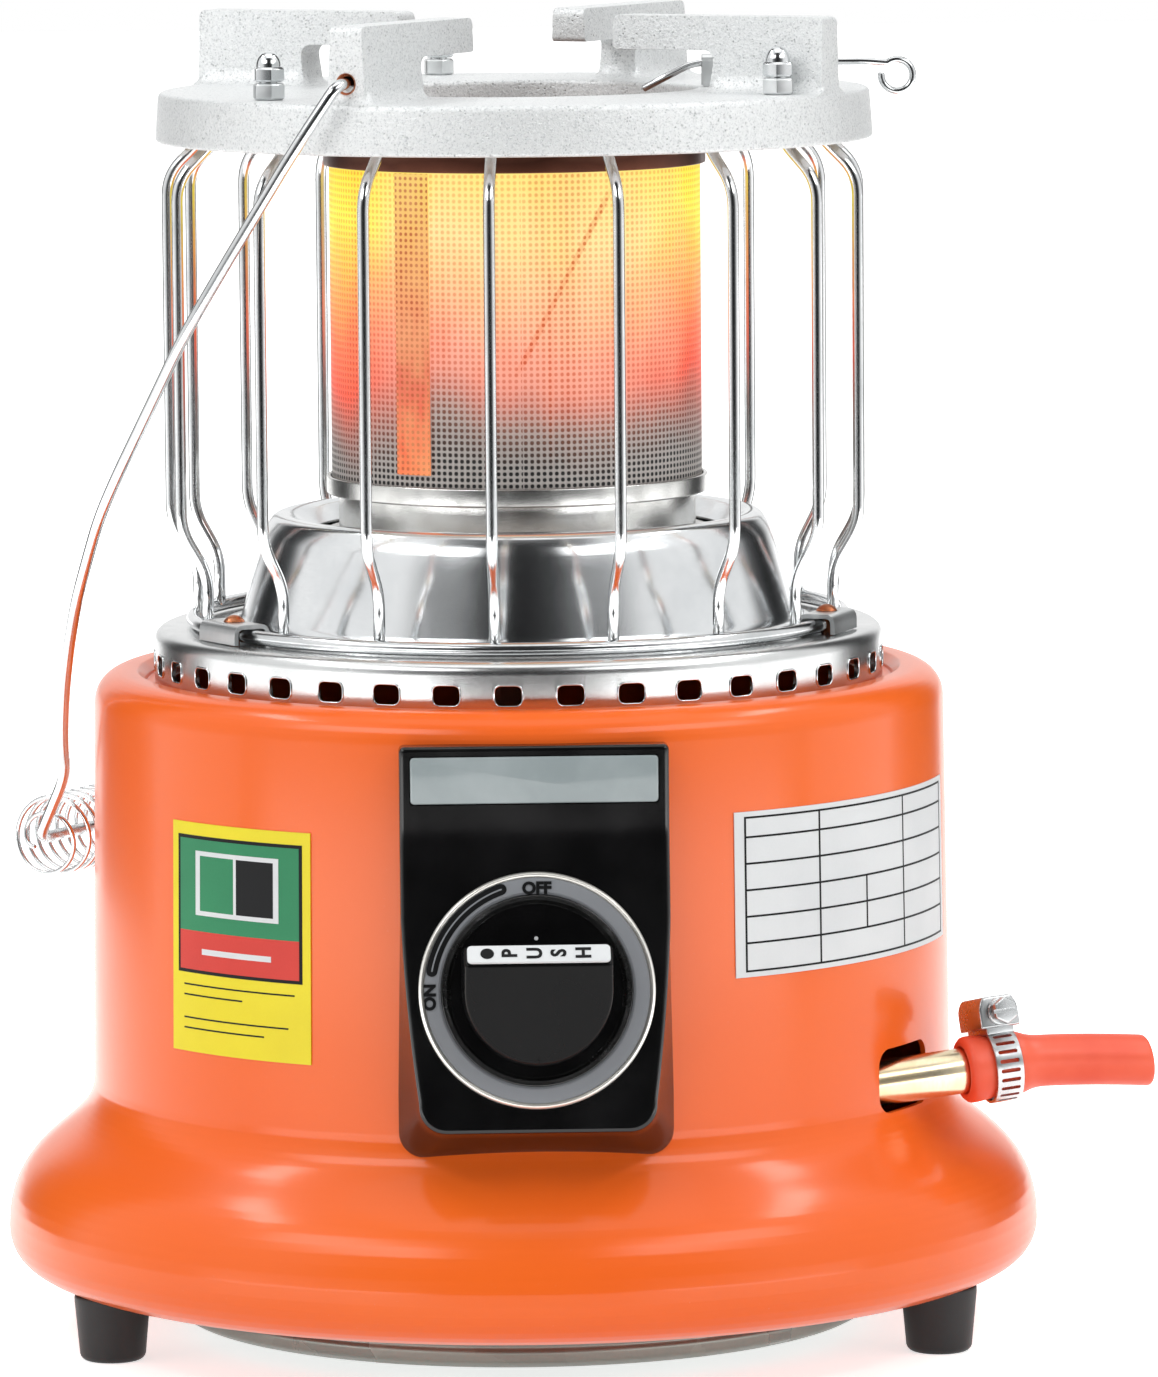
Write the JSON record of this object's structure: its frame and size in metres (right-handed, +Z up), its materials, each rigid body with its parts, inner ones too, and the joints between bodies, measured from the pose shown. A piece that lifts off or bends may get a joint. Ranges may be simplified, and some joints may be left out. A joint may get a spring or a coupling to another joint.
{
  "type": "portable propane heater",
  "caption": "Portable propane heater with an orange steel body, a glowing round mesh emitter in a wire guard, a cast pan stand on top, a wire bail with a wound grip and a push-and-turn dial.",
  "frame": {"origin": "centre of the underside of the round tray in the base; the rubber feet reach 4.5 mm below it", "axes": "+Z up along the body axis, -Y out through the control panel, +X towards the side the gas pipe leaves from"},
  "size_m": [0.3224, 0.2965, 0.369],
  "materials": {
    "paint": "glossy orange paint",
    "galvanised": "satin zinc",
    "rubber": "matte",
    "chrome": "polished",
    "stainless": "bright, slightly brushed",
    "hot_mesh": "woven wire, glowing",
    "burnt_steel": "heat-tinted",
    "casting": "cast, fine grain",
    "copper": "copper",
    "brass": "bright",
    "black_plastic": "gloss black",
    "dial_grey": "satin grey, bright rim",
    "window_grey": "pale grey",
    "white": "satin white",
    "yellow": "satin yellow",
    "ceramic": "matte",
    "hose_red": "satin orange-red"
  },
  "bodies": {
    "heater_body": {"body_shell": "paint", "bottom_tray": "galvanised", "vent_ring": "stainless", "reflector": "chrome", "burner_pan": "burnt_steel", "mesh_base_ring": "stainless", "emitter_mesh": "hot_mesh", "mesh_seam_strip": "burnt_steel", "mesh_collar": "burnt_steel", "burner_cap": "stainless", "burner_head": "casting", "mixing_tube": "galvanised", "igniter_electrode": "ceramic", "thermocouple": "copper", "foot_1": "rubber", "foot_2": "rubber", "foot_3": "rubber", "guard_panel_front": "chrome", "guard_panel_right": "chrome", "guard_panel_left": "chrome", "guard_clip_1": "stainless", "clip_rivet_1": "copper", "guard_clip_2": "stainless", "clip_rivet_2": "copper", "guard_clip_3": "stainless", "clip_rivet_3": "copper", "pan_stand": "casting", "stud_1": "galvanised", "lock_nut_1": "stainless", "cap_nut_1": "chrome", "stud_2": "galvanised", "lock_nut_2": "stainless", "cap_nut_2": "chrome", "stud_3": "galvanised", "lock_nut_3": "stainless", "cap_nut_3": "chrome", "rod_bearing": "stainless", "control_panel": "black_plastic", "panel_window": "window_grey", "dial_ring": "dial_grey", "gas_valve": "brass", "valve_bracket": "galvanised", "gas_jet": "brass", "gas_pipe": "brass", "gas_hose": "hose_red", "clamp_band": "stainless", "clamp_housing": "stainless", "clamp_screw": "stainless", "front_sticker": "yellow", "rating_label": "white"},
    "spindle": {"valve_spindle": "brass"},
    "knob": {"control_knob": "black_plastic", "knob_strip": "white"},
    "bail": {"bail_wire": "chrome", "bail_grip": "chrome"},
    "rod": {"turn_rod": "chrome"}
  },
  "joints": [
    {"name": "dial_turn", "type": "hinge", "parent": "heater_body", "child": "spindle", "pos_m": [0, -0.13078, 0.109], "axis": [0, -0.9863, 0.165], "range_deg": [-90, 0]},
    {"name": "dial_push", "type": "slide", "parent": "spindle", "child": "knob", "axis": [0, 0.9863, -0.165], "range_m": [0, 0.003], "stiffness_N_per_m": 400, "springref_m": -0.002},
    {"name": "bail_swing", "type": "hinge", "parent": "heater_body", "child": "bail", "pos_m": [0, 0, 0.349], "axis": [0.4894, 0.8721, 0], "range_deg": [0, 296]},
    {"name": "rod_turn", "type": "hinge", "parent": "heater_body", "child": "rod", "pos_m": [0.075, 0, 0.3501], "axis": [1, 0, 0], "range_deg": [0, 90]}
  ]
}
